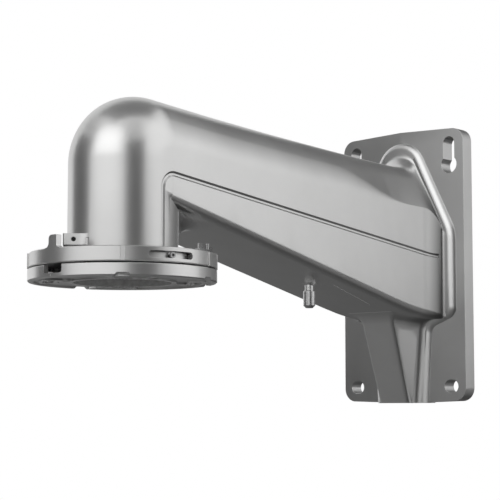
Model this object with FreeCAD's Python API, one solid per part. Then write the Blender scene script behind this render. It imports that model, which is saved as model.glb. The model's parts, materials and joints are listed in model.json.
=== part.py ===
import FreeCAD, Part
import math
import os

from FreeCAD import Vector

# Wall bracket for a dome camera: a cast arm on a wall plate, with a turning lock ring at the
# foot of its tube. Millimetres, +Z up. The origin is the middle of the wall plate's back
# face, the wall is the plane y = 0 and the arm reaches toward -Y.

os.makedirs("parts", exist_ok=True)

# Wall plate
plate_width = 136.5
plate_height = 250.0
plate_thickness = 14.0
plate_crown = 2.0          # how far the face and the short edges rise to the plane x = 0
plate_corner = 12.0
pocket_depth = 8.0         # relief in the back of the plate
plate_rim = 7.0            # solid border round the relief
boss_radius = 13.0         # solid metal round each bolt hole

# Bolt holes, placed from the plate's edges
bolt_edge_x = 15.25
bolt_edge_z = 13.0
bolt_slot_width = 12.0
bolt_slot_length = 14.5
keyhole_head_radius = 8.2
keyhole_drop = 20.0        # from the seat down to the middle of the wide end

# Raised pad where the arm meets the plate
pad_side = 8.95            # from the plate's long edges
pad_top_side = 7.5         # from the plate's upper edge to the pad's peak
pad_slant = 25.7           # degrees from vertical
pad_shoulder = 31.0        # height where side and slant would meet
pad_shoulder_round = 40.0
pad_low_corner = -47.0
pad_low_round = 12.0
pad_rise = 4.0             # above the plate's face
pad_edge_run = 7.3         # width of the rounded edge, which meets the plate at a slant
pad_land = 2.4             # flat strip between the rounded edge and the arm

# Arm
wall = 5.0
tube_radius = 42.35
tube_reach = 383.0         # from the wall to the tube's axis
bend_radius = 11.9
bend_start = 53.1          # height where the tube starts to bend
bend_hollow = 1.6          # by which the cavity's ball in the bend is wider than the bore
fall_start = 4.05          # degrees below level, just after the bend
fall_radius = 6500.0       # the arm's top line curves up by this much toward the wall
underside_mark = -11.5     # height of the underside at underside_mark_y
underside_mark_y = -220.8
underside_slope = 0.22
underside_level_y = -80.0  # from here the underside flattens
underside_end = -50.5      # and it meets the pad at this height
edge_round = 7.0
smallest_round = 1.0       # of the cavity's edges
inner_corner = 28.0        # hollow between the tube and the underside
inner_corner_turn = 48.0   # how far round the tube it is drawn
inner_corner_end = 52.0    # where it would fade out
shoulder_start = -160.0    # from here the round top turns into two slanted faces
shoulder_full = -66.0
shoulder_slant = 30.0      # of the slanted faces, from vertical
shoulder_crease = 1.5      # round of the edge below each slanted face

# The arm's flare into the pad
flare_length = 22.0
flare_share = 0.6          # of the spread is done where the hollow at the pad starts
flare_power = 2.7
flare_steps = 6
flare_hollow_turn = 57.0   # degrees through which that hollow turns
flare_hollow_steps = 4

# Side groove
groove_mouth = 4.2
groove_floor = 1.4
groove_depth = 1.2
groove_rise = 45.0         # height of the groove where its slanted run would meet the tube
groove_slope = 0.1065
groove_round = 12.0
groove_end = 18.8          # how far it runs into the flare
groove_swing = 3.2         # and how far it swings out there

# Scribed line on the underside, from one point to the other
scribe_start = (24.8, -153.0)
scribe_end = (17.9, -90.4)
scribe_width = 0.7
scribe_depth = 0.5

# Foot below the arm
foot_half_width = 17.0
foot_edge_round = 4.0
foot_front_low = 31.6      # distance from the wall at the plate's lower edge
foot_front_slope = 0.348
foot_base_low = 19.6
foot_base_slope = 0.12
foot_base_round = 6.0
foot_base_tuck = 3.7       # the side's straight run would meet the pad this far inside the hollow's end
foot_outline_top = 33.5
foot_outline_low = 29.0
foot_outline_round = 7.0
foot_outline_slope = 0.42  # of the pad's edge between the arm and the foot
foot_top_round = 9.0       # where the foot runs out into the arm's underside
foot_top_sink = 0.25       # its end lies this far inside the arm
foot_top_turns = (0, 25, 45, 62, 76, 84)

# Lock ring, flange and camera plate
ring_radius = 71.3
ring_wall = 5.0
ring_top = -15.7
ring_height = 11.3
ring_chamfer = 0.6
strip_angles = (-46.2, -43.9)  # faint flat strip across the ring's front
strip_depth = 0.15
running_gap = 0.3
flange_chamfer = 3.0
lug_height = 2.1
lug_reach = 4.8
lug_half_angle = 8.0
raised_step = 1.1
raised_angles = (18.7, 52.2)
slot_angles = (-29.6, 1.2)
slot_height = 5.2
slot_drop = 5.9            # from the ring's top to the middle of its slots
plate_gap = 1.2
camera_plate_step = 0.8    # the camera plate is this much larger than the ring
camera_plate_height = 9.4
camera_plate_rim = 4.5
camera_plate_chamfer = 0.8
camera_plate_floor = 2.2
camera_plate_lip = 1.4     # how far rim, collar and bosses stand below the floor
collar_wall = 4.0
hook_angle = 11.0
hook_count = 4
hook_half_angle = 6.0
hook_wall = 4.5
hook_head_height = 4.6
hook_clearance = 1.0       # degrees at each side of a hook, and millimetres inside it
window_angles = (-98.2, -82.8)
window_depth = 6.4
window_round = 2.2
mark_angle = -91.6         # scribed mark below the window
mark_width = 0.6
mark_depth = 0.4
seal_width = 3.2
seal_gap = 0.4
camera_slot_inset = 14.8   # from the ring's outside to the middle of the slots
camera_slot_width = 8.0
camera_slot_span = 22.0
camera_slot_angle = -128.0
camera_boss_wall = 3.0
camera_hole_inset = 27.0
camera_hole_radius = 3.2
camera_hole_angle = -117.0
notch_angles = (-44.8, 17.0, 67.3, 163.9)
notch_depth = 2.2
notch_width = 8.3
guide_angle = -13.2
guide_head_radius = 2.3
guide_shank_radius = 1.5
guide_head = 3.8
guide_length = 8.0
guide_end_gap = 0.5        # between a screw's point and the end of its hole
thread_gap = 0.05

# Ear on the ring and the block beside it on the tube
ear_angles = (-94.4, -87.6)
ear_height = 9.5
ear_top_round = 3.0
ear_foot_round = 4.0
ear_inner_round = 2.6
view_turn = -44.8          # the block's face looks this way, in degrees from +X
block_sink = 11.0          # from the tube's front to the block's face
block_overhang = 2.2       # past the tube's side
block_depth = 15.0
block_blend = 12.0
block_low = -11.8
block_high = -3.2
block_chamfer = 0.9
block_slot = (2.6, 5.4, 1.6)
block_slot_side = 26.3
lock_screw_side = 36.6     # from the tube's axis, along the block's face
lock_screw_radius = 1.7
lock_screw_length = 5.0
lock_screw_inset = 2.0

# Safety rope post, with its neck cast on the arm
post_y = -155.0
post_neck_radius = 3.8
post_body_radius = 5.2
post_stud_radius = 2.5
post_neck_length = 4.5
post_body_length = 15.0
post_chamfer = 2.2
post_top_chamfer = 0.7
post_seat = 7.0            # how deep the stud sits above the underside
post_boss_radius = 8.0

# Catch on the ring
catch_angles = (9.0, 27.5)
catch_sheet = 1.2
catch_wing_angles = (11.5, 20.0)
catch_wing_height = 5.4
catch_tab_angles = (24.0, 27.5)
catch_tab_height = 3.6
catch_screw_angle = 21.5
catch_screw_radius = 1.7
catch_screw_head = 4.6

overlap = 1.5
plate_face = -plate_thickness
bolt_spacing_x = plate_width - 2 * bolt_edge_x
bolt_spacing_z = plate_height - 2 * bolt_edge_z
pad_half_width = plate_width / 2 - pad_side
pad_peak = plate_height / 2 - pad_top_side
pad_face = plate_face - pad_rise - plate_crown * (1 - 2 * pad_half_width / plate_width)
base_start = pad_face - flare_length
ring_bottom = ring_top - ring_height
ring_bore = ring_radius - ring_wall
slot_middle = ring_top - slot_drop
flange_radius = ring_bore - running_gap
flange_top = ring_top - running_gap
lug_top = ring_bottom + lug_height
flange_bottom = lug_top + 1.5 * running_gap
camera_plate_radius = ring_radius + camera_plate_step
camera_plate_top = ring_bottom - plate_gap
camera_plate_bottom = camera_plate_top - camera_plate_height
hook_inner = ring_bore - lug_reach - running_gap - hook_wall
camera_slot_radius = ring_radius - camera_slot_inset
camera_hole_circle = ring_radius - camera_hole_inset
bore_radius = tube_radius - wall
axis_y = -tube_reach
block_face = tube_radius - block_sink


def to_xz(y):
    return lambda p: Vector(p.x, y, p.y)


def corner_arc(before, at, after, radius):
    back = (before - at).normalize()
    ahead = (after - at).normalize()
    half = back.getAngle(ahead) / 2
    reach = radius / math.tan(half)
    inward = (back + ahead).normalize()
    middle = at + inward * (radius / math.sin(half) - radius)
    return at + back * reach, middle, at + ahead * reach


def outline(corners, place):
    # Closed wire through (u, v, radius) corners. A radius of 0 is a sharp corner.
    points = [Vector(u, v, 0) for u, v, radius in corners]
    trims = []
    for i, (u, v, radius) in enumerate(corners):
        if radius:
            after = points[(i + 1) % len(points)]
            trims.append(corner_arc(points[i - 1], points[i], after, radius))
        else:
            trims.append((points[i], points[i], points[i]))
    edges = []
    for i, (start, middle, end) in enumerate(trims):
        if start != end:
            edges.append(Part.Arc(place(start), place(middle), place(end)).toShape())
        following = trims[(i + 1) % len(trims)][0]
        if (following - end).Length > 1e-6:
            edges.append(Part.makeLine(place(end), place(following)))
    return Part.Wire(edges)


def mirrored(corners):
    return corners + [(-u, v, radius) for u, v, radius in reversed(corners) if u]


def prism(wire, direction):
    return Part.Face(wire).extrude(direction)


def ring_solid(inner, outer, low, high):
    # Plain ring round the tube's axis.
    centre = Vector(0, axis_y, low)
    return Part.makeCylinder(outer, high - low, centre).cut(Part.makeCylinder(inner, high - low, centre))


def sector(inner, outer, low, high, start, end):
    # Piece of a ring round the tube's axis between two angles, in degrees from +X.
    corners = [Vector(inner, 0, low), Vector(outer, 0, low), Vector(outer, 0, high), Vector(inner, 0, high)]
    face = Part.Face(Part.makePolygon(corners + corners[:1]))
    piece = face.revolve(Vector(0, 0, 0), Vector(0, 0, 1), end - start)
    piece.rotate(Vector(0, 0, 0), Vector(0, 0, 1), start)
    piece.translate(Vector(0, axis_y, 0))
    return piece


def spun(corners):
    # Solid of revolution round the tube's axis from (radius, height, round) corners.
    wire = outline(corners, lambda p: Vector(p.x, 0, p.y))
    solid = Part.Face(wire).revolve(Vector(0, 0, 0), Vector(0, 0, 1), 360)
    solid.translate(Vector(0, axis_y, 0))
    return solid


def radial_cylinder(radius, start, length, angle, height):
    turn = math.radians(angle)
    outward = Vector(math.cos(turn), math.sin(turn), 0)
    return Part.makeCylinder(radius, length, Vector(0, axis_y, height) + outward * start, outward)


def underside(y):
    # Height of the arm's flat underside at a distance y from the wall.
    height = underside_mark - underside_slope * (min(y, underside_level_y) - underside_mark_y)
    if y <= underside_level_y:
        return height
    run = pad_face - underside_level_y
    rise = underside_end - height + underside_slope * run
    along = min(y - underside_level_y, run)
    return height - underside_slope * along + rise * (along / run) ** 2


def bend_end():
    turn = math.radians(fall_start)
    y = axis_y + bend_radius * (1 + math.sin(turn))
    z = bend_start + bend_radius * math.cos(turn)
    return y, z


def spring(y):
    # Height of the middle line of the arm's round top.
    start_y, start_z = bend_end()
    turn = math.radians(fall_start)
    centre_y = start_y + fall_radius * math.sin(turn)
    centre_z = start_z + fall_radius * math.cos(turn)
    return centre_z - math.sqrt(fall_radius ** 2 - (y - centre_y) ** 2)


def smooth(value):
    value = max(0.0, min(1.0, value))
    return value * value * (3 - 2 * value)


def round_top(half, middle):
    # Half a circle, split where slanted faces grow further along.
    turns = [0, 15, 29.7, 30.3, 90, 149.7, 150.3, 165, 180]
    radians = [math.radians(turn) for turn in turns]
    points = [Vector(half * math.cos(turn), middle + half * math.sin(turn), 0) for turn in radians]
    return [Part.Arc(*points[0:3]).toShape(), Part.makeLine(points[2], points[3]),
            Part.Arc(*points[3:6]).toShape(), Part.makeLine(points[5], points[6]),
            Part.Arc(*points[6:9]).toShape()]


def roof_top(half, shoulder, slant, rounding, peak):
    # Two slanted faces under a round ridge, each with a round where it meets the upright side.
    apex = Vector(0, shoulder + half / math.tan(math.radians(slant)), 0)
    right = Vector(half, shoulder, 0)
    left = Vector(-half, shoulder, 0)
    ridge = (apex.y - peak) / (1 / math.sin(math.radians(slant)) - 1)
    low = corner_arc(right - Vector(0, half, 0), right, apex, rounding)
    crown = corner_arc(right, apex, left, ridge)
    far = [Vector(-p.x, p.y, 0) for p in reversed(low)]
    return [Part.Arc(*low).toShape(), Part.makeLine(low[2], crown[0]), Part.Arc(*crown).toShape(),
            Part.makeLine(crown[2], far[0]), Part.Arc(*far).toShape()]


def arm_top(half, middle, share):
    # Share 0 is the round top, share 1 the full roof. The ridge keeps its height.
    if not share:
        return round_top(half, middle)
    shoulder = middle + half * math.tan(math.radians(shoulder_slant / 2)) * (1 - share)
    rounding = half + (shoulder_crease - half) * share
    return roof_top(half, shoulder, shoulder_slant, rounding, middle + half)


def pad_shoulder_height(slant, inset):
    # Where side and slanted face would meet on the pad's outline moved in by inset.
    apex = pad_shoulder + pad_half_width / math.tan(math.radians(pad_slant))
    apex -= inset / math.sin(math.radians(pad_slant))
    return apex - (pad_half_width - inset) / math.tan(math.radians(slant))


def pad_top_radius(peak, half, shoulder):
    slant = math.radians(pad_slant)
    apex = shoulder + half / math.tan(slant)
    return apex, (apex - peak) / (1 / math.sin(slant) - 1)


def arm_wire(half, bottom, rounding, top, place):
    # Closed section: flat bottom, rounded lower edges, upright sides and the given top.
    start = top[0].valueAt(top[0].FirstParameter)
    low_side = Vector(half, bottom + rounding, 0)
    low_end = Vector(half - rounding, bottom, 0)
    bulge = rounding * (1 - math.sqrt(0.5))
    low_middle = Vector(half - bulge, bottom + bulge, 0)
    def flip(p):
        return Vector(-p.x, p.y, 0)

    parts = [Part.makeLine(flip(low_end), low_end)]
    parts.append(Part.Arc(low_end, low_middle, low_side).toShape())
    parts.append(Part.makeLine(low_side, start))
    parts.extend(top)
    parts.append(Part.makeLine(flip(start), flip(low_side)))
    parts.append(Part.Arc(flip(low_side), flip(low_middle), flip(low_end)).toShape())
    wire = Part.Wire(parts)
    wire.Placement = FreeCAD.Placement(place)
    return wire


def upright(y):
    # Turns a section drawn in x and y into one that stands at a distance y from the wall.
    matrix = FreeCAD.Matrix()
    matrix.rotateX(math.pi / 2)
    matrix.move(Vector(0, y, 0))
    return matrix


def arm_section(y, inset):
    half = tube_radius - inset
    middle = spring(y)
    share = smooth((y - shoulder_start) / (shoulder_full - shoulder_start))
    top = arm_top(half, middle, share)
    rounding = max(edge_round - inset, smallest_round)
    return arm_wire(half, underside(y) + inset, rounding, top, upright(y))


def bend_section(inset):
    # The section at the end of the bend, square to the arm's top line.
    half = tube_radius - inset
    y, z = bend_end()
    turn = math.radians(fall_start)
    bottom = (underside(y) + inset - z) / math.cos(turn)
    rounding = max(edge_round - inset, smallest_round)
    top = arm_top(half, 0, 0)
    matrix = FreeCAD.Matrix()
    matrix.rotateX(math.pi / 2 - turn)
    matrix.move(Vector(0, y, z))
    return arm_wire(half, bottom, rounding, top, matrix)


def bend_solid(inset):
    # Tube and bend. Outside, a round-fronted section turns through the bend. A ball, a little wider
    # than the tube's bore, does for the cavity.
    half = tube_radius - inset
    column = Part.makeCylinder(half, bend_start - flange_bottom, Vector(0, axis_y, flange_bottom))
    centre = Vector(0, axis_y + bend_radius, bend_start)
    if inset:
        halfway = math.radians((90 + fall_start) / 2)
        middle = centre + Vector(0, -math.cos(halfway), math.sin(halfway)) * bend_radius
        return column, Part.makeSphere(half + bend_hollow, middle)
    front = Part.Arc(Vector(half, axis_y, bend_start), Vector(0, axis_y - half, bend_start),
                     Vector(-half, axis_y, bend_start)).toShape()
    back_y = axis_y + overlap
    back = Part.makePolygon([Vector(-half, axis_y, bend_start), Vector(-half, back_y, bend_start),
                             Vector(half, back_y, bend_start), Vector(half, axis_y, bend_start)])
    face = Part.Face(Part.Wire([front] + back.Edges))
    return column, face.revolve(centre, Vector(1, 0, 0), -(90 + fall_start))


def throat_solid(inset):
    # What lies under the bend, between the tube's axis and the start of the straight arm.
    half = tube_radius - inset
    rounding = max(edge_round - inset, smallest_round)
    y, z = bend_end()
    turn = math.radians(fall_start)
    low = underside(axis_y) + inset
    far_low = underside(y) + inset
    foot_y = y - (z - far_low) * math.tan(turn)
    foot_z = underside(foot_y) + inset
    centre = Vector(0, axis_y + bend_radius, bend_start)
    halfway = math.radians((90 + fall_start) / 2)
    on_arc = centre + Vector(0, -math.cos(halfway), math.sin(halfway)) * bend_radius
    arc = Part.Arc(Vector(0, axis_y, bend_start), on_arc, Vector(0, y, z)).toShape()
    edges = [Part.makeLine(Vector(0, axis_y, low), Vector(0, axis_y, bend_start)), arc]
    edges.append(Part.makeLine(Vector(0, y, z), Vector(0, foot_y, foot_z)))
    edges.append(Part.makeLine(Vector(0, foot_y, foot_z), Vector(0, axis_y, low)))
    block = Part.Face(Part.Wire(edges)).extrude(Vector(2 * half, 0, 0))
    block.translate(Vector(-half, 0, 0))
    middle = (low + foot_z) / 2
    lower = [e for e in block.Edges if abs(abs(e.CenterOfMass.x) - half) < 1e-6
             and abs(e.CenterOfMass.z - middle) < 0.01 and e.BoundBox.ZMax < bend_start]
    return block.makeFillet(rounding, lower)


def arm_solid(inset, end_y):
    round_end = bend_end()[0]
    taper = 3 if inset else 5
    stations = [round_end + (shoulder_start - round_end) * step / 3 for step in (1, 2, 3)]
    stations += [shoulder_start + (shoulder_full - shoulder_start) * step / taper
                 for step in range(1, taper + 1)]
    stations += [(shoulder_full + end_y) / 2, end_y]
    wires = [bend_section(inset)] + [arm_section(y, inset) for y in stations]
    return [*bend_solid(inset), throat_solid(inset), Part.makeLoft(wires, True, True)]


def inner_corner_fill():
    # Hollow between the back of the tube and the underside, widest in the middle.
    wires = []
    for step in range(-6, 7):
        turn = inner_corner_turn * step / 6
        angle = math.radians(turn)
        slope = underside_slope * math.cos(angle)
        radius = inner_corner * (1 - (turn / inner_corner_end) ** 2) ** 1.5
        top = underside(axis_y) - slope * tube_radius
        corner = Vector(tube_radius, top, 0)
        below = Vector(tube_radius, top - 1, 0)
        beyond = Vector(tube_radius + 1, top - slope, 0)
        start, middle, end = corner_arc(below, corner, beyond, radius)
        over = end + Vector(0, overlap, 0)
        inner_top = Vector(tube_radius - overlap, over.y + slope * (end.x - tube_radius), 0)
        inner_low = Vector(tube_radius - overlap, start.y, 0)
        corners = [start, middle, end, over, inner_top, inner_low, start]
        placed = [Vector(p.x * math.sin(angle), axis_y + p.x * math.cos(angle), p.y) for p in corners]
        edges = [Part.Arc(*placed[:3]).toShape()]
        for first, second in zip(placed[2:], placed[3:]):
            edges.append(Part.makeLine(first, second))
        wires.append(Part.Wire(edges))
    return Part.makeLoft(wires, True, True)


def flare_stations():
    # Distance from the pad and share of the spread, from the plain arm to the pad's flat strip.
    full = pad_half_width - pad_edge_run - pad_land - tube_radius
    turn = math.radians(flare_hollow_turn)
    hollow = full * (1 - flare_share) / math.sin(turn)
    depth = hollow * (1 - math.cos(turn))
    stations = []
    for step in range(flare_steps):
        along = step / flare_steps
        stations.append((depth + (flare_length - depth) * (1 - along), flare_share * along ** flare_power))
    for step in range(flare_hollow_steps + 1):
        left = turn * (1 - step / flare_hollow_steps)
        stations.append((hollow * (1 - math.cos(left)), 1 - hollow * math.sin(left) / full))
    return stations


def base_flare():
    # The arm's sides spread, first slowly and then in a hollow, down to the pad.
    middle = spring(base_start)
    inset = pad_edge_run + pad_land
    full_half = pad_half_width - inset
    full_shoulder = pad_shoulder_height(pad_slant, inset)
    full_ridge = pad_peak - inset
    wires = []
    for distance, share in flare_stations():
        y = pad_face - distance
        half = tube_radius + (full_half - tube_radius) * share
        shoulder = middle + (full_shoulder - middle) * share
        slant = shoulder_slant + (pad_slant - shoulder_slant) * share
        crease = shoulder_crease + (pad_shoulder_round - inset - shoulder_crease) * share
        peak = middle + tube_radius + (full_ridge - middle - tube_radius) * share
        rounding = edge_round + (pad_low_round - inset - edge_round) * share
        top = roof_top(half, shoulder, slant, crease, peak)
        wires.append(arm_wire(half, underside(y), rounding, top, upright(y)))
    root = prism(wires[-1], Vector(0, plate_face + overlap - pad_face, 0))
    return [Part.makeLoft(wires, True, True), root]


def plate_edge_outline(half_width, half_height, peak, rounding):
    corners = [(0, half_height + peak, 0), (half_width, half_height, rounding),
               (half_width, -half_height, rounding), (0, -half_height - peak, 0),
               (-half_width, -half_height, rounding), (-half_width, half_height, rounding)]
    return corners


def plate_solid():
    half = plate_width / 2
    corners = plate_edge_outline(half, plate_height / 2, plate_crown, plate_corner)
    slab = prism(outline(corners, to_xz(0)), Vector(0, -plate_thickness - 2 * plate_crown, 0))
    section = [(half + 1, 0, 0), (half + 1, plate_face, 0), (0, plate_face - plate_crown, 0),
               (-half - 1, plate_face, 0), (-half - 1, 0, 0)]
    tall = plate_height + 4 * plate_crown
    crowned = prism(outline(section, lambda p: Vector(p.x, p.y, -tall / 2)), Vector(0, 0, tall))
    return slab.common(crowned)


def pad_solid():
    # The rounded edge is part of a larger round that runs on below the plate's face.
    rounding = (pad_edge_run ** 2 + pad_rise ** 2) / (2 * pad_rise)
    out = rounding - pad_edge_run
    shoulder = pad_shoulder_height(pad_slant, -out)
    apex, radius = pad_top_radius(pad_peak + out, pad_half_width + out, shoulder)
    low = -plate_height / 2 - 4 * plate_crown
    corner_drop = (pad_half_width - foot_outline_top) * foot_outline_slope
    corners = [(0, apex, radius), (pad_half_width + out, shoulder, pad_shoulder_round + out),
               (pad_half_width + out, pad_low_corner - out, pad_low_round + out),
               (foot_outline_top + out, pad_low_corner - out - corner_drop, foot_outline_round),
               (foot_outline_low + out, low, 0)]
    depth = rounding + overlap
    body = prism(outline(mirrored(corners), to_xz(pad_face + depth)), Vector(0, -depth, 0))
    front = [e for e in body.Edges if abs(e.BoundBox.YMax - pad_face) < 1e-6
             and abs(e.BoundBox.YMin - pad_face) < 1e-6 and e.BoundBox.ZMax > low + 0.1]
    return body.makeFillet(rounding, front)


def foot_wire(height, lean, grow):
    # Outline at a height beside the pad. It leans with the arm's underside and grows toward it.
    above = height + plate_height / 2
    front = -(foot_front_low + foot_front_slope * (above + lean * pad_face)) / (1 - foot_front_slope * lean)
    base = foot_base_low + foot_base_slope * above + grow
    back = plate_face + overlap
    corners = [(foot_half_width + grow, front - grow, foot_edge_round),
               (base - foot_base_tuck, pad_face, foot_base_round), (base, pad_face, 0), (base, back, 0)]
    return outline(mirrored(corners), lambda p: Vector(p.x, p.y, height + lean * (pad_face - p.y)))


def foot_solid():
    front = -foot_front_low - foot_front_slope * (underside_end + plate_height / 2)
    lean = (underside(front) - underside_end) / (pad_face - front)
    wires = [foot_wire(-plate_height / 2 - 4 * plate_crown, 0, 0)]
    for degrees in foot_top_turns:
        turn = math.radians(degrees)
        height = underside_end + foot_top_sink - foot_top_round * (1 - math.sin(turn))
        wires.append(foot_wire(height, lean, foot_top_round * (1 - math.cos(turn))))
    wires.append(foot_wire(underside_end + wall / 2, lean, foot_top_round * (1 - math.cos(turn))))
    return Part.makeLoft(wires, True, True)


def keyhole(side):
    x = side * bolt_spacing_x / 2
    seat = bolt_spacing_z / 2
    radius = bolt_slot_width / 2
    through = Vector(0, -3 * plate_thickness, 0)
    neck = Part.makeBox(2 * radius, 3 * plate_thickness, keyhole_drop,
                        Vector(x - radius, -2 * plate_thickness, seat - keyhole_drop))
    top = Part.makeCylinder(radius, 3 * plate_thickness, Vector(x, plate_thickness, seat), through)
    head = Part.makeCylinder(keyhole_head_radius, 3 * plate_thickness,
                             Vector(x, plate_thickness, seat - keyhole_drop), through)
    return neck.fuse([top, head])


def bolt_slot(side):
    x = side * bolt_spacing_x / 2
    radius = bolt_slot_width / 2
    half = bolt_slot_length / 2
    z = -bolt_spacing_z / 2
    corners = [(x - half, z - radius, radius * 0.999), (x + half, z - radius, radius * 0.999),
               (x + half, z + radius, radius * 0.999), (x - half, z + radius, radius * 0.999)]
    return prism(outline(corners, to_xz(plate_thickness)), Vector(0, -3 * plate_thickness, 0))


def back_pockets():
    # Relief in the plate's back, which leaves a rim, a border round the opening and bosses.
    half = plate_width / 2 - plate_rim
    tall = plate_height / 2 - plate_rim
    corners = plate_edge_outline(half, tall, plate_crown, plate_corner - plate_rim)
    field = prism(outline(corners, to_xz(0)), Vector(0, -pocket_depth, 0))
    keep = []
    for side in (-1, 1):
        x = side * bolt_spacing_x / 2
        for z, low in ((bolt_spacing_z / 2, keyhole_drop), (-bolt_spacing_z / 2, 0)):
            keep.append(Part.makeCylinder(boss_radius, pocket_depth, Vector(x, 0, z), Vector(0, -1, 0)))
            keep.append(Part.makeBox(2 * boss_radius, pocket_depth, low + boss_radius,
                                     Vector(x - boss_radius, -pocket_depth, z - low)))
            keep.append(Part.makeCylinder(boss_radius, pocket_depth, Vector(x, 0, z - low),
                                          Vector(0, -1, 0)))
    border = arm_wire(tube_radius + overlap, underside(0) - overlap, edge_round,
                      arm_top(tube_radius + overlap, spring(0), 1), upright(0))
    keep.append(prism(border, Vector(0, -pocket_depth, 0)))
    rib = plate_rim / 2
    keep.append(Part.makeBox(2 * rib, pocket_depth, plate_height,
                             Vector(-rib, -pocket_depth, -plate_height / 2)))
    return field.cut(keep)


def foot_core():
    # The foot is hollow from the back, so that its walls are as thin as the arm's.
    top = underside_end - 2 * wall
    low = -plate_height / 2 + 2 * plate_rim
    half_top = foot_half_width - wall
    depth_top = foot_front_low + foot_front_slope * (top + plate_height / 2) - wall - 1
    depth_low = foot_front_low + foot_front_slope * (low + plate_height / 2) - wall - 1
    side = [(0, low), (-depth_low, low), (-depth_top, top), (0, top)]
    wire = Part.makePolygon([Vector(plate_rim / 4, y, z) for y, z in side + side[:1]])
    piece = Part.Face(wire).extrude(Vector(half_top - plate_rim / 4, 0, 0))
    return [piece, piece.mirror(Vector(0, 0, 0), Vector(1, 0, 0))]


def groove_path():
    # Runs up the tube's side, turns, follows the arm down and swings out with the flare.
    x = tube_radius
    low = Vector(axis_y, ring_top + 2 * ring_chamfer, 0)
    corner = Vector(axis_y, groove_rise, 0)
    end = Vector(base_start, groove_rise - groove_slope * (base_start - axis_y), 0)
    start, middle, finish = corner_arc(low, corner, end, groove_round)
    placed = [Vector(x, p.x, p.y) for p in (low, start, middle, finish, end)]
    swing = [Vector(x + groove_swing * share ** 2, base_start + groove_end * share,
                    end.y - groove_slope * groove_end * share) for share in (0.5, 1)]
    return Part.Wire([Part.makeLine(placed[0], placed[1]), Part.Arc(*placed[1:4]).toShape(),
                      Part.makeLine(placed[3], placed[4]), Part.Arc(placed[4], *swing).toShape()])


def grooves():
    path = groove_path()
    start = path.Vertexes[0].Point
    out = 4 * overlap
    section = [(-groove_depth, -groove_floor / 2), (0, -groove_mouth / 2), (out, -groove_mouth / 2),
               (out, groove_mouth / 2), (0, groove_mouth / 2), (-groove_depth, groove_floor / 2)]
    points = [start + Vector(x, y, 0) for x, y in section]
    channel = path.makePipeShell([Part.makePolygon(points + points[:1])], True, False)
    return [channel, channel.mirror(Vector(0, 0, 0), Vector(1, 0, 0))]


def scribe():
    corners = []
    for (x, y), sides in ((scribe_start, (-1, 1)), (scribe_end, (1, -1))):
        corners += [Vector(x + side * scribe_width / 2, y, underside(y) - overlap) for side in sides]
    return prism(Part.makePolygon(corners + corners[:1]), Vector(0, 0, overlap + scribe_depth))


def beside_tube(side, depth, height):
    # Place from its distances across and along the direction in which the block's face looks.
    turn = math.radians(view_turn)
    return Vector(depth * math.cos(turn) - side * math.sin(turn),
                  axis_y + depth * math.sin(turn) + side * math.cos(turn), height)


def block_solid():
    # A block that overhangs the tube's side, with a flat face that runs out into the tube.
    left = -tube_radius - block_overhang
    back = block_face - block_depth
    centre = Vector(-math.sqrt((tube_radius + block_blend) ** 2 - (block_face + block_blend) ** 2),
                    block_face + block_blend, 0)
    landing = centre * (tube_radius / centre.Length)
    inward = (landing - centre).normalize() + Vector(0, -1, 0)
    middle = centre + inward.normalize() * block_blend
    inside = landing * (1 - wall / 2 / tube_radius)
    rear = Vector(-math.sqrt((tube_radius - wall / 2) ** 2 - back ** 2), back, 0)
    points = [Vector(left, back, 0), Vector(left, block_face - block_chamfer, 0),
              Vector(left + block_chamfer, block_face, 0), Vector(centre.x, block_face, 0)]
    placed = [beside_tube(p.x, p.y, block_low) for p in points]
    arc = [beside_tube(p.x, p.y, block_low) for p in (points[-1], middle, landing)]
    closing = [beside_tube(p.x, p.y, block_low) for p in (landing, inside, rear, points[0])]
    edges = Part.makePolygon(placed).Edges + [Part.Arc(*arc).toShape()] + Part.makePolygon(closing).Edges
    return prism(Part.Wire(edges), Vector(0, 0, block_high - block_low))


def block_cuts():
    # The hole for the lock screw and the small blind slot where the block's face ends.
    depth = block_face - lock_screw_inset - lock_screw_length - guide_end_gap
    middle = (block_low + block_high) / 2
    start = beside_tube(-lock_screw_side, depth, middle)
    along = beside_tube(-lock_screw_side, block_face + overlap, middle) - start
    hole = Part.makeCylinder(lock_screw_radius + thread_gap, along.Length, start, along)
    width, height, sink = block_slot
    turn = view_turn - math.degrees(math.asin(block_slot_side / tube_radius))
    half = math.degrees(width / 2 / tube_radius)
    return [hole, sector(tube_radius - sink, tube_radius + overlap, block_low, block_low + height,
                         turn - half, turn + half)]


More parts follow.
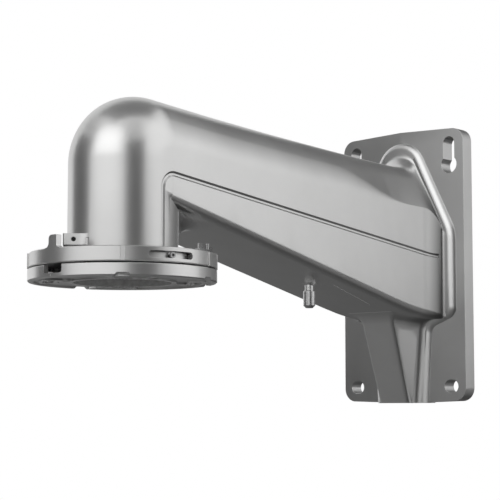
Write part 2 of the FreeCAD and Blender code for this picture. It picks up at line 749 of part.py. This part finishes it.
def arm_casting():
    landing = flange_top + flange_chamfer
    flange = spun([(bore_radius, flange_bottom, 0), (flange_radius, flange_bottom, 0),
                   (flange_radius, flange_top, 0), (tube_radius + flange_chamfer, flange_top, 0),
                   (tube_radius, landing, 0), (bore_radius, landing, 0)])
    seat = underside(post_y)
    neck_end = seat - post_neck_length
    outer = arm_solid(0, base_start)
    arm = outer[0].multiFuse(outer[1:] + [inner_corner_fill()], 0.001)
    base = plate_solid().fuse(pad_solid()).fuse(foot_solid()).fuse(base_flare())
    body = base.multiFuse([arm], 0.001).fuse([flange, block_solid()])
    low = -plate_height / 2
    below = [(plate_width, low - 2 * plate_height, 0), (plate_width, low - plate_crown, 0),
             (0, low - plate_crown, 0), (-plate_width, low - plate_crown, 0),
             (-plate_width, low - 2 * plate_height, 0)]
    cuts = arm_solid(wall, overlap) + [back_pockets(), scribe()] + foot_core() + grooves()
    cuts.append(Part.makeCylinder(bore_radius, bend_start - flange_bottom + 2 * overlap,
                                  Vector(0, axis_y, flange_bottom - 2 * overlap)))
    cuts.append(prism(outline(below, to_xz(plate_thickness)), Vector(0, -plate_height, 0)))
    cuts += [keyhole(-1), keyhole(1), bolt_slot(-1), bolt_slot(1)]
    body = body.cut(cuts)
    boss = Part.makeCylinder(post_boss_radius, post_seat + overlap, Vector(0, post_y, seat + overlap))
    neck = Part.makeCylinder(post_neck_radius, post_neck_length + 2 * overlap, Vector(0, post_y, neck_end))
    body = body.fuse([boss, neck])
    cuts = block_cuts()
    pocket_top = flange_bottom + hook_head_height + 2 * running_gap
    half = hook_half_angle + hook_clearance
    for k in range(hook_count):
        angle = hook_angle + 360 / hook_count * k
        cuts.append(sector(hook_inner - hook_clearance, flange_radius + overlap, flange_bottom - overlap,
                           pocket_top, angle - half, angle + half))
    for angle in (guide_angle, guide_angle + 180):
        cuts.append(radial_cylinder(guide_shank_radius + thread_gap, flange_radius - guide_length,
                                    guide_length + overlap, angle, slot_middle))
    cuts.append(Part.makeCylinder(post_stud_radius + thread_gap, post_neck_length + post_seat + overlap,
                                  Vector(0, post_y, neck_end - overlap)))
    return body.cut(cuts)


def lock_ring():
    band = spun([(ring_bore, ring_bottom, 0), (ring_radius - ring_chamfer, ring_bottom, 0),
                 (ring_radius, ring_bottom + ring_chamfer, 0), (ring_radius, ring_top - ring_chamfer, 0),
                 (ring_radius - ring_chamfer, ring_top, 0), (ring_bore, ring_top, 0)])
    parts = []
    for k in range(hook_count):
        angle = hook_angle + 360 / hook_count * k
        parts.append(sector(ring_bore - lug_reach, ring_bore + overlap, ring_bottom, lug_top,
                            angle - lug_half_angle, angle + lug_half_angle))
    for turn in (0, 180):
        parts.append(sector(ring_bore + overlap, ring_radius + raised_step, ring_bottom,
                            ring_top - ring_chamfer, raised_angles[0] + turn, raised_angles[1] + turn))
    left, right = [ring_radius * math.sin(math.radians(angle + 90)) for angle in ear_angles]
    top = ring_top + ear_height
    base = ring_top - overlap
    inner_end = right + 1.2 * ear_inner_round
    outer_end = left - 1.2 * ear_foot_round
    corners = [(inner_end, base, 0), (inner_end, ring_top, 0), (right, ring_top, ear_inner_round),
               (right, top, ring_chamfer), (left, top, ear_top_round), (left, ring_top, ear_foot_round),
               (outer_end, ring_top, 0), (outer_end, base, 0)]
    ear = prism(outline(corners, to_xz(axis_y - ring_bore / 2)), Vector(0, -ring_bore, 0))
    parts.append(ear.common(ring_solid(ring_bore, ring_radius, base, top + overlap)))
    body = band.multiFuse(parts, 0.001)
    half = slot_height / 2
    edge = math.degrees(half / ring_radius)
    cuts = [sector(ring_radius - strip_depth, ring_radius + overlap, ring_bottom - overlap,
                   ring_top + overlap, *strip_angles)]
    for turn in (0, 180):
        start = slot_angles[0] + edge + turn
        end = slot_angles[1] - edge + turn
        cuts.append(sector(ring_bore - overlap, ring_radius + overlap, slot_middle - half,
                           slot_middle + half, start, end))
        for angle in (start, end):
            cuts.append(radial_cylinder(half, ring_bore - overlap, ring_wall + 2 * overlap, angle,
                                        slot_middle))
    return body.cut(cuts)


def on_camera_plate(wire, angle):
    # A cutter through the rim, from an outline drawn as seen from outside.
    cutter = prism(wire, Vector(0, -2 * camera_plate_rim, 0))
    cutter.translate(Vector(0, camera_plate_rim / 2 + camera_plate_rim - camera_plate_radius, 0))
    cutter.rotate(Vector(0, 0, 0), Vector(0, 0, 1), angle + 90)
    cutter.translate(Vector(0, axis_y, 0))
    return cutter


def camera_plate():
    outer = camera_plate_radius
    inner = outer - camera_plate_rim
    low = camera_plate_bottom
    under = low + camera_plate_lip
    floor = under + camera_plate_floor
    top = camera_plate_top
    collar = bore_radius + collar_wall
    edge = camera_plate_chamfer
    body = spun([(bore_radius, low, 0), (collar, low, 0), (collar, under, 0), (inner, under, 0),
                 (inner, low, 0), (outer - edge, low, 0), (outer, low + edge, 0),
                 (outer, top - edge / 2, 0), (outer - edge / 2, top, 0), (inner, top, 0),
                 (inner, floor, 0), (collar, floor, 0), (collar, top, 0), (bore_radius, top, 0)])
    head_low = lug_top + running_gap
    head_top = head_low + hook_head_height
    half = camera_slot_width / 2
    boss = half + camera_boss_wall
    boss_top = floor - camera_plate_floor / 2
    boss_end = math.degrees(boss / camera_slot_radius)
    parts = []
    cuts = []
    for k in range(hook_count):
        angle = hook_angle + 360 / hook_count * k
        parts.append(sector(hook_inner, hook_inner + hook_wall, boss_top, head_top,
                            angle - hook_half_angle, angle + hook_half_angle))
        parts.append(sector(hook_inner, ring_bore - 3 * running_gap, head_low, head_top,
                            angle - hook_half_angle, angle + hook_half_angle))
        angle = camera_slot_angle + 360 / hook_count * k
        start = angle - camera_slot_span / 2
        end = angle + camera_slot_span / 2
        parts.append(sector(camera_slot_radius - boss, camera_slot_radius + boss, low, boss_top,
                            start - boss_end, end + boss_end))
        cuts.append(sector(camera_slot_radius - half, camera_slot_radius + half, low - overlap,
                           floor + overlap, start, end))
        for turn in (start, end):
            cuts.append(upright_pin(half, camera_slot_radius, turn, low - overlap, floor + overlap))
        angle = camera_hole_angle + 360 / hook_count * k
        parts.append(upright_pin(camera_hole_radius + camera_boss_wall, camera_hole_circle, angle,
                                 low, boss_top))
        cuts.append(upright_pin(camera_hole_radius, camera_hole_circle, angle, low - overlap,
                                floor + overlap))
    body = body.multiFuse(parts, 0.001)
    start, end = window_angles
    width = math.radians(end - start) * outer
    sill = top - window_depth
    corners = [(width / 2, top + overlap, 0), (width / 2, sill, window_round),
               (-width / 2, sill, window_round), (-width / 2, top + overlap, 0)]
    cuts.append(on_camera_plate(outline(corners, to_xz(0)), (start + end) / 2))
    half = math.degrees(mark_width / 2 / outer)
    cuts.append(sector(outer - mark_depth, outer + overlap, low - overlap, sill - mark_width,
                       mark_angle - half, mark_angle + half))
    for angle in notch_angles:
        half = notch_width / 2
        corners = [(half + notch_depth, low, 0), (half, low + notch_depth, 0), (-half, low + notch_depth, 0),
                   (-half - notch_depth, low, 0), (-half - notch_depth, low - overlap, 0),
                   (half + notch_depth, low - overlap, 0)]
        cuts.append(on_camera_plate(outline(corners, to_xz(0)), angle))
    return body.cut(cuts)


def upright_pin(radius, circle, angle, low, high):
    # Upright cylinder at a distance from the tube's axis.
    turn = math.radians(angle)
    return Part.makeCylinder(radius, high - low,
                             Vector(circle * math.cos(turn), axis_y + circle * math.sin(turn), low))


def seal_ring():
    inner = bore_radius + seal_gap
    return ring_solid(inner, inner + seal_width, camera_plate_top, flange_bottom)


def guide_screws():
    screws = []
    for turn in (0, 180):
        angle = guide_angle + turn
        shank = radial_cylinder(guide_shank_radius, flange_radius - guide_length + guide_end_gap,
                                guide_length, angle, slot_middle)
        head = radial_cylinder(guide_head_radius, flange_radius + thread_gap, guide_head, angle, slot_middle)
        socket = radial_cylinder(guide_head_radius / 2, flange_radius + guide_head / 2, guide_head,
                                 angle, slot_middle)
        screws.append(shank.fuse(head).cut(socket))
    return Part.makeCompound(screws)


def lock_screw():
    middle = (block_low + block_high) / 2
    start = beside_tube(-lock_screw_side, block_face - lock_screw_inset - lock_screw_length, middle)
    along = beside_tube(-lock_screw_side, block_face - lock_screw_inset, middle) - start
    body = Part.makeCylinder(lock_screw_radius, lock_screw_length, start, along)
    socket = Part.makeCylinder(lock_screw_radius / 2, lock_screw_length, start + along * 0.6, along)
    return body.cut(socket)


def rope_post():
    seat = underside(post_y)
    start = seat + post_seat - guide_end_gap
    neck_end = seat - post_neck_length
    end = neck_end - post_body_length
    r = post_body_radius
    profile = [(0, start, 0), (post_stud_radius, start, 0), (post_stud_radius, neck_end, 0),
               (r - post_top_chamfer, neck_end, 0), (r, neck_end - post_top_chamfer, 0),
               (r, end + post_chamfer, 0), (r - post_chamfer, end, 0), (0, end, 0)]
    wire = outline(profile, lambda p: Vector(p.x, 0, p.y))
    solid = Part.Face(wire).revolve(Vector(0, 0, 0), Vector(0, 0, 1), 360)
    solid.translate(Vector(0, post_y, 0))
    return solid


def catch_plate():
    # Bent sheet: a foot on the ring, an upright wing at its inner edge and a tab at its end.
    inner = ring_bore + running_gap
    outer = ring_radius - ring_chamfer
    base = sector(inner, outer, ring_top, ring_top + catch_sheet, *catch_angles)
    wing = sector(inner, inner + catch_sheet, ring_top, ring_top + catch_wing_height, *catch_wing_angles)
    tab = sector(outer - catch_sheet, outer, ring_top, ring_top + catch_tab_height, *catch_tab_angles)
    return base.multiFuse([wing, tab], 0.001)


def catch_screw():
    return upright_pin(catch_screw_radius, ring_bore + ring_wall / 2, catch_screw_angle,
                       ring_top + catch_sheet, ring_top + catch_sheet + catch_screw_head)


makers = {
    "arm_casting": arm_casting,
    "lock_ring": lock_ring,
    "camera_plate": camera_plate,
    "seal_ring": seal_ring,
    "guide_screws": guide_screws,
    "lock_screw": lock_screw,
    "rope_post": rope_post,
    "catch_plate": catch_plate,
    "catch_screw": catch_screw,
}

if __name__ == "__main__":
    for name, maker in makers.items():
        shape = maker()
        shape.exportStep("parts/" + name + ".step")
        print(name, shape.isValid(), len(shape.Solids), round(shape.Volume / 1000, 2), "cm3")
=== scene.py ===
import json
import math

import bpy
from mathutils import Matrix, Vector
from mathutils.bvhtree import BVHTree


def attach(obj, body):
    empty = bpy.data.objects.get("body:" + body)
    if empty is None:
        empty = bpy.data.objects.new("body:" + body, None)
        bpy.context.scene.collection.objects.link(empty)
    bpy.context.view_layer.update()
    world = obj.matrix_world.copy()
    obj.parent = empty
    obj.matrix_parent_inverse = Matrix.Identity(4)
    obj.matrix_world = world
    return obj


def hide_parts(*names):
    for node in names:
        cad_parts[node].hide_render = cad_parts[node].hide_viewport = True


# Wall bracket of a dome camera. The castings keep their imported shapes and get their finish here.

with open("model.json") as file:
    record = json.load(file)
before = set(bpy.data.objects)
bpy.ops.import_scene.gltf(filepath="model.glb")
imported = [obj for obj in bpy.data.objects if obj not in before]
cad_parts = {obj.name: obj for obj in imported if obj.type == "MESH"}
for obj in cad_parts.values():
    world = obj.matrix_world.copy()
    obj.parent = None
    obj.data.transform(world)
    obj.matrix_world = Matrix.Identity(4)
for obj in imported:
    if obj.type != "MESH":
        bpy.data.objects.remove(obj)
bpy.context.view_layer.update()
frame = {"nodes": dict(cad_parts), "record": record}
nodes = frame["nodes"]
bpy.ops.object.select_all(action="DESELECT")
print("frame loaded:", len(nodes), "nodes")


def nodeTree(name):
    material = bpy.data.materials.new(name)
    material.use_nodes = True
    tree = material.node_tree
    shader = tree.nodes["Principled BSDF"]
    coords = tree.nodes.new("ShaderNodeTexCoord")
    return material, tree, shader, coords.outputs["Object"]


def noiseOn(tree, place, scale, detail=4.0, roughness=0.55):
    noise = tree.nodes.new("ShaderNodeTexNoise")
    noise.inputs["Scale"].default_value = scale
    noise.inputs["Detail"].default_value = detail
    noise.inputs["Roughness"].default_value = roughness
    tree.links.new(place, noise.inputs["Vector"])
    return noise.outputs["Fac"]


def ramped(tree, value, low, high, start=0.3, end=0.7):
    ramp = tree.nodes.new("ShaderNodeValToRGB")
    ramp.color_ramp.elements[0].position = start
    ramp.color_ramp.elements[1].position = end
    ramp.color_ramp.elements[0].color = (*low, 1)
    ramp.color_ramp.elements[1].color = (*high, 1)
    tree.links.new(value, ramp.inputs["Fac"])
    return ramp.outputs["Color"]


def spread(tree, value, low, high, start=0.0, end=1.0):
    scale = tree.nodes.new("ShaderNodeMapRange")
    scale.inputs["From Min"].default_value = start
    scale.inputs["From Max"].default_value = end
    scale.inputs["To Min"].default_value = low
    scale.inputs["To Max"].default_value = high
    tree.links.new(value, scale.inputs["Value"])
    return scale.outputs["Result"]


# Coated castings
castPaint = {
    "dark": (0.69, 0.69, 0.685),
    "light": (0.74, 0.74, 0.735),
    "metallic": 1.0,
    "roughness": (0.29, 0.35),
    "grain": 1400.0,      # fine texture of the coat, per metre
    "grainDetail": 2.0,
    "grainHeight": 0.00002,
    "grainStrength": 0.25,
    "cloud": 22.0,        # slow change of tone along the castings
    "edgeRound": 0.0004,
    "edgeSamples": 6,
}


def makeCastPaint(name, roughnessShift=0.0, toneShift=1.0):
    material, tree, shader, place = nodeTree(name)
    cloud = noiseOn(tree, place, castPaint["cloud"])
    low = tuple(c * toneShift for c in castPaint["dark"])
    high = tuple(c * toneShift for c in castPaint["light"])
    tree.links.new(ramped(tree, cloud, low, high), shader.inputs["Base Color"])
    fine = noiseOn(tree, place, castPaint["grain"], detail=castPaint["grainDetail"])
    lowRough, highRough = (limit + roughnessShift for limit in castPaint["roughness"])
    tree.links.new(spread(tree, cloud, lowRough, highRough), shader.inputs["Roughness"])
    shader.inputs["Metallic"].default_value = castPaint["metallic"]
    edge = tree.nodes.new("ShaderNodeBevel")
    edge.samples = castPaint["edgeSamples"]
    edge.inputs["Radius"].default_value = castPaint["edgeRound"]
    bump = tree.nodes.new("ShaderNodeBump")
    bump.inputs["Strength"].default_value = castPaint["grainStrength"]
    bump.inputs["Distance"].default_value = castPaint["grainHeight"]
    tree.links.new(fine, bump.inputs["Height"])
    tree.links.new(edge.outputs["Normal"], bump.inputs["Normal"])
    tree.links.new(bump.outputs["Normal"], shader.inputs["Normal"])
    return material


# Painted shade: where the arm's sides spread to the pad, their hollow is painted darker to stand in for the
# shade there. Each fade runs from none to full along one axis, and the tone is darkest where all four are
# full.
paintedFlareShade = {
    "deepest": 0.33,
    "fades": (
        ("Y", -0.043, -0.0205),
        ("Y", -0.0180, -0.0188),
        ("Z", 0.066, 0.048),
        ("Z", -0.060, -0.050),
    ),
}


def paintFlareShade(material):
    tree = material.node_tree
    color = tree.nodes["Principled BSDF"].inputs["Base Color"]
    plain = color.links[0].from_socket
    axes = tree.nodes.new("ShaderNodeSeparateXYZ")
    tree.links.new(tree.nodes["Texture Coordinate"].outputs["Object"], axes.inputs["Vector"])
    share = None
    for axis, none, full in paintedFlareShade["fades"]:
        fade = spread(tree, axes.outputs[axis], 0.0, 1.0, start=none, end=full)
        if share:
            both = tree.nodes.new("ShaderNodeMath")
            both.operation = "MULTIPLY"
            tree.links.new(share, both.inputs[0])
            tree.links.new(fade, both.inputs[1])
            fade = both.outputs["Value"]
        share = fade
    shaded = tree.nodes.new("ShaderNodeVectorMath")
    shaded.operation = "MULTIPLY"
    tree.links.new(plain, shaded.inputs[0])
    tree.links.new(spread(tree, share, 1.0, paintedFlareShade["deepest"]), shaded.inputs[1])
    tree.links.new(shaded.outputs["Vector"], color)


# Screws, catch and rope post
screwSteel = {
    "dark": (0.33, 0.33, 0.33),
    "light": (0.48, 0.48, 0.48),
    "metallic": 1.0,
    "roughness": (0.22, 0.38),
    "grain": 900.0,
    "grainDetail": 3.0,
}


def makeSteel(name, tone=1.0):
    material, tree, shader, place = nodeTree(name)
    wear = noiseOn(tree, place, screwSteel["grain"], detail=screwSteel["grainDetail"])
    low = tuple(c * tone for c in screwSteel["dark"])
    high = tuple(c * tone for c in screwSteel["light"])
    tree.links.new(ramped(tree, wear, low, high), shader.inputs["Base Color"])
    tree.links.new(spread(tree, wear, *screwSteel["roughness"]), shader.inputs["Roughness"])
    shader.inputs["Metallic"].default_value = screwSteel["metallic"]
    return material


# Seal between tube and camera plate
sealRubber = {
    "dark": (0.018, 0.018, 0.018),
    "light": (0.035, 0.035, 0.035),
    "roughness": (0.6, 0.8),
    "grain": 1800.0,
    "grainDetail": 2.0,
}


def makeRubber(name):
    material, tree, shader, place = nodeTree(name)
    dust = noiseOn(tree, place, sealRubber["grain"], detail=sealRubber["grainDetail"])
    tree.links.new(ramped(tree, dust, sealRubber["dark"], sealRubber["light"]), shader.inputs["Base Color"])
    tree.links.new(spread(tree, dust, *sealRubber["roughness"]), shader.inputs["Roughness"])
    return material


# Painted shade for the castings' insides: a matt finish darker than the coat, standing in for the shade there
paintedInnerShade = {
    "dark": (0.13, 0.13, 0.128),
    "light": (0.19, 0.19, 0.187),
    "roughness": (0.55, 0.75),
    "grain": 260.0,
    "grainDetail": 5.0,
    "gloss": 0.1,
}


def makeInnerShade(name):
    material, tree, shader, place = nodeTree(name)
    sand = noiseOn(tree, place, paintedInnerShade["grain"], detail=paintedInnerShade["grainDetail"])
    tree.links.new(ramped(tree, sand, paintedInnerShade["dark"], paintedInnerShade["light"]), shader.inputs["Base Color"])
    tree.links.new(spread(tree, sand, *paintedInnerShade["roughness"]), shader.inputs["Roughness"])
    shader.inputs["Specular IOR Level"].default_value = paintedInnerShade["gloss"]
    return material


armPaint = makeCastPaint("castingPaint")
# The arm's paint gets its painted shade in the flare's hollow.
paintFlareShade(armPaint)
ringPaint = makeCastPaint("ringPaint", roughnessShift=0.02, toneShift=1.05)
platePaint = makeCastPaint("cameraPlatePaint", toneShift=1.08)
innerShadePaint = makeInnerShade("paintedInnerShade")
plainSteel = makeSteel("screwSteel")
blackSteel = makeSteel("lockScrewSteel", tone=0.08)
brightSteel = makeSteel("postSteel", tone=1.5)
sealMaterial = makeRubber("sealRubber")
print("materials made")

finishes = {
    "arm_casting": armPaint,
    "lock_ring": ringPaint,
    "camera_plate": platePaint,
    "seal_ring": sealMaterial,
    "guide_screws": plainSteel,
    "lock_screw": blackSteel,
    "rope_post": brightSteel,
    "catch_plate": plainSteel,
    "catch_screw": plainSteel,
}

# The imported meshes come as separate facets, so copies are merged and shaded smooth by angle.
smoothing = {"angle": 28.0, "merge": 0.000002}


def smoothCopy(nodeName, body, material):
    source = nodes[nodeName]
    bpy.ops.object.select_all(action="DESELECT")
    mesh = source.data.copy()
    piece = bpy.data.objects.new(nodeName + "_finished", mesh)
    bpy.context.scene.collection.objects.link(piece)
    piece.data.materials.clear()
    piece.data.materials.append(material)
    piece.select_set(True)
    bpy.context.view_layer.objects.active = piece
    if mesh.has_custom_normals:
        bpy.ops.mesh.customdata_custom_splitnormals_clear()
    bpy.ops.object.mode_set(mode="EDIT")
    bpy.ops.mesh.select_all(action="SELECT")
    bpy.ops.mesh.remove_doubles(threshold=smoothing["merge"])
    bpy.ops.object.mode_set(mode="OBJECT")
    bpy.ops.object.shade_smooth_by_angle(angle=math.radians(smoothing["angle"]))
    piece.select_set(False)
    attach(piece, body)
    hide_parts(nodeName)
    return piece


bodyOf = {name: body for body, members in frame["record"]["behaviour"]["bodies"].items() for name in members}
copies = {name: smoothCopy(name, bodyOf[name], material) for name, material in finishes.items()}

# Painted shade, the dark matt finish, on what faces the tube's axis, between ring and camera plate, and on
# the ends of their slots
inside = {
    "axisY": -0.383,
    "bore": 0.0395,
    "boreTop": 0.10,
    "chamber": 0.0665,
    "slots": 0.0714,
    "low": -0.0352,
    "high": -0.0165,
    "down": -0.5,         # a face whose normal is lower looks down
    "level": 0.9,         # one whose normal is higher is a level top
    "endTurn": 0.4,       # a slot's end looks along the rim, not outwards
}


def nearTubeAxis(face, isArm):
    away = Vector((face.center.x, face.center.y - inside["axisY"], 0))
    outwards = face.normal.dot(away.normalized())
    looksIn = outwards < 0 or face.normal.z < inside["down"]
    if away.length < inside["bore"] and face.center.z < inside["boreTop"] and looksIn:
        return True
    if isArm or face.normal.z <= inside["down"] or not inside["low"] < face.center.z < inside["high"]:
        return False
    slotEnd = abs(outwards) < inside["endTurn"] and face.normal.z < inside["level"]
    return away.length < inside["chamber"] or (slotEnd and away.length < inside["slots"])


# Painted shade in the arm's hollow: a face there looks across it at one wall and has one wall behind it.
# Near the wall plate the foot's two walls may lie behind it or the pad's ahead, or it faces the wall.
hollow = {
    "narrowest": 0.020,
    "widest": 0.300,
    "pocketWidth": 0.008, # narrowest in the foot's pockets
    "pocketSide": 0.036,
    "nearWall": -0.060,
    "front": -0.300,
    "mouth": -0.016,
    "facingWall": 0.3,
    "step": 0.00002,      # by which each ray starts past the skin
}


def wallsAlong(tree, start, direction):
    # Distances at which a straight line from a face goes through the casting's skin
    found = []
    reached = 0.0
    while True:
        reached += hollow["step"]
        distance = tree.ray_cast(start + direction * reached, direction)[3]
        if distance is None:
            return found
        reached += distance
        found.append(reached)


def inHollow(face, tree):
    if face.normal.y > hollow["facingWall"] and hollow["front"] < face.center.y < hollow["mouth"]:
        return True
    nearWall = face.center.y > hollow["nearWall"]
    inPocket = nearWall and abs(face.center.x) < hollow["pocketSide"]
    nearest = hollow["pocketWidth"] if inPocket else hollow["narrowest"]
    ahead = wallsAlong(tree, face.center, face.normal)
    if len(ahead) not in (2, 4) or not nearest < ahead[0] < hollow["widest"]:
        return False
    behind = len(wallsAlong(tree, face.center, -face.normal))
    if nearWall:
        return behind in (1, 3)
    return behind == 1 and len(ahead) == 2


armMesh = copies["arm_casting"].data
armPoints = [vertex.co.copy() for vertex in armMesh.vertices]
armTree = BVHTree.FromPolygons(armPoints, [tuple(face.vertices) for face in armMesh.polygons])
# Faces found here get the dark matt finish, which is painted shade for the insides and the arm's hollow.
for name in ("arm_casting", "camera_plate", "lock_ring"):
    mesh = copies[name].data
    mesh.materials.append(innerShadePaint)
    isArm = name == "arm_casting"
    for face in mesh.polygons:
        if nearTubeAxis(face, isArm) or (isArm and inHollow(face, armTree)):
            face.material_index = 1

# The metal shows its studio but not its own arm, so the arm stays out of reflections.
copies["arm_casting"].visible_glossy = False
print("finished copies made")

# Studio: pale floor well below the bracket, big soft lamps and cards that only reflections see.
studio = {
    "floorHeight": -0.62,
    "floorSize": 9.0,
    "floorDark": (0.8712, 0.8712, 0.8712),
    "floorColor": (0.88, 0.88, 0.88),
    "floorGrain": 3.0,
    "floorRoughness": 0.9,
    "worldColor": (1, 1, 1, 1),
    "worldLight": 1.0,
    "centre": Vector((0.0, -0.22, 0.03)),
}

world = bpy.data.worlds.new("studioWorld")
world.use_nodes = True
bpy.context.scene.world = world
background = world.node_tree.nodes["Background"]
background.inputs["Color"].default_value = studio["worldColor"]
background.inputs["Strength"].default_value = studio["worldLight"]

bpy.ops.mesh.primitive_plane_add(size=studio["floorSize"], location=(0, 0, studio["floorHeight"]))
floor = bpy.context.active_object
floor.name = "studioFloor"
floorMaterial, floorTree, floorShader, floorPlace = nodeTree("floorPaper")
floorShader.inputs["Roughness"].default_value = studio["floorRoughness"]
floorTone = noiseOn(floorTree, floorPlace, studio["floorGrain"])
floorColor = ramped(floorTree, floorTone, studio["floorDark"], studio["floorColor"])
floorTree.links.new(floorColor, floorShader.inputs["Base Color"])
floor.data.materials.append(floorMaterial)


def aimed(obj, target):
    direction = target - obj.location
    obj.rotation_euler = direction.to_track_quat("-Z", "Y").to_euler()


def placeAround(turn, rise, distance):
    # Turn 0 is in front (-Y) and 90 to the right (+X), seen from the middle of the bracket.
    around = math.radians(turn)
    up = math.radians(rise)
    level = math.cos(up)
    offset = Vector((math.sin(around) * level, -math.cos(around) * level, math.sin(up)))
    return studio["centre"] + offset * distance


lamps = {
    "frontSoftbox": {"turn": 8, "rise": 32, "distance": 1.8, "width": 1.5, "height": 1.2, "radiance": 0.49},
    "rightSoftbox": {"turn": 118, "rise": 32, "distance": 1.8, "width": 1.6, "height": 1.4, "radiance": 0.08},
}
for name, lamp in lamps.items():
    data = bpy.data.lights.new(name, "AREA")
    data.shape = "RECTANGLE"
    data.size = lamp["width"]
    data.size_y = lamp["height"]
    data.energy = lamp["radiance"] * math.pi * lamp["width"] * lamp["height"]
    holder = bpy.data.objects.new(name, data)
    bpy.context.scene.collection.objects.link(holder)
    holder.location = placeAround(lamp["turn"], lamp["rise"], lamp["distance"])
    aimed(holder, studio["centre"])

# Cards seen only in reflections shape the tones on the metal. Each fades from its lower edge to
# its upper one, over the share of its height that is its span.
cardMeasures = ("turn", "rise", "distance", "width", "height", "low", "high", "span")
cards = {
    "leftCard": (-118, 30, 2.5, 2.7, 3.4, 0.90, 0.70, 1.0),
    "leftHighCard": (-58, 52, 2.6, 2.2, 1.4, 0.32, 1.0, 1.0),
    "leftFlag": (-52, 8, 2.6, 2.45, 2.6, 0.12, 0.14, 1.0),
    "rightFlag": (66, 8, 2.6, 1.8, 2.6, 0.14, 0.08, 1.0),
    "rightLowFlag": (82, -5, 2.3, 1.6, 0.55, 0.02, 0.02, 1.0),
    "shoulderCard": (62, 52, 2.6, 1.5, 1.4, 0.50, 0.67, 1.0),
    "wallFlag": (188, 18, 2.6, 2.1, 3.4, 0.19, 0.10, 1.0),
    "wallSideFlag": (158, 14, 2.7, 1.1, 3.0, 0.15, 0.55, 1.0),
    "topCard": (-120, 82, 1.8, 1.9, 1.7, 0.25, 0.13, 1.0),
    "lowFlag": (-34, -8, 2.2, 2.0, 0.5, 0.02, 0.02, 1.0),
    "lowSideCard": (136, -27, 0.9, 0.8, 0.45, 0.14, 0.20, 1.0),
    "underFlag": (-50, -89.9, 0.62, 40.0, 40.0, 0.04, 0.20, 0.04),
}
for name, measures in cards.items():
    card = dict(zip(cardMeasures, measures))
    bpy.ops.mesh.primitive_plane_add(size=1.0)
    flag = bpy.context.active_object
    flag.name = name
    flag.scale = (card["width"], card["height"], 1)
    flag.location = placeAround(card["turn"], card["rise"], card["distance"])
    aimed(flag, studio["centre"])
    material = bpy.data.materials.new(name + "Tone")
    material.use_nodes = True
    tree = material.node_tree
    tree.nodes.remove(tree.nodes["Principled BSDF"])
    axes = tree.nodes.new("ShaderNodeSeparateXYZ")
    tree.links.new(tree.nodes.new("ShaderNodeTexCoord").outputs["Object"], axes.inputs["Vector"])
    half = card["span"] / 2
    fade = spread(tree, axes.outputs["Y"], card["low"], card["high"], start=-half, end=half)
    glow = tree.nodes.new("ShaderNodeEmission")
    tree.links.new(fade, glow.inputs["Strength"])
    tree.links.new(glow.outputs[0], tree.nodes["Material Output"].inputs["Surface"])
    flag.data.materials.append(material)
    flag.visible_camera = False
    flag.visible_diffuse = False
    flag.visible_shadow = False
    flag.visible_transmission = False
print("studio set up")

camera = {
    "location": Vector((0.86860, -1.24526, -0.13531)),
    "turn": 40.66,        # degrees to the left of straight at the wall
    "rise": 5.76,
    "focalPixels": 1606.09,
    "imagePixels": 500,
    "sensor": 36.0,
    "nearest": 0.05,
    "farthest": 50,
}
cameraData = bpy.data.cameras.new("photoCamera")
cameraData.sensor_width = camera["sensor"]
cameraData.lens = camera["sensor"] * camera["focalPixels"] / camera["imagePixels"]
cameraData.clip_start = camera["nearest"]
cameraData.clip_end = camera["farthest"]
cameraObject = bpy.data.objects.new("photoCamera", cameraData)
bpy.context.scene.collection.objects.link(cameraObject)
cameraObject.location = camera["location"]
turn = math.radians(camera["turn"])
rise = math.radians(camera["rise"])
look = Vector((-math.sin(turn) * math.cos(rise), math.cos(turn) * math.cos(rise), math.sin(rise)))
cameraObject.rotation_euler = look.to_track_quat("-Z", "Y").to_euler()
bpy.context.scene.camera = cameraObject
bpy.context.scene.view_settings.view_transform = "Standard"
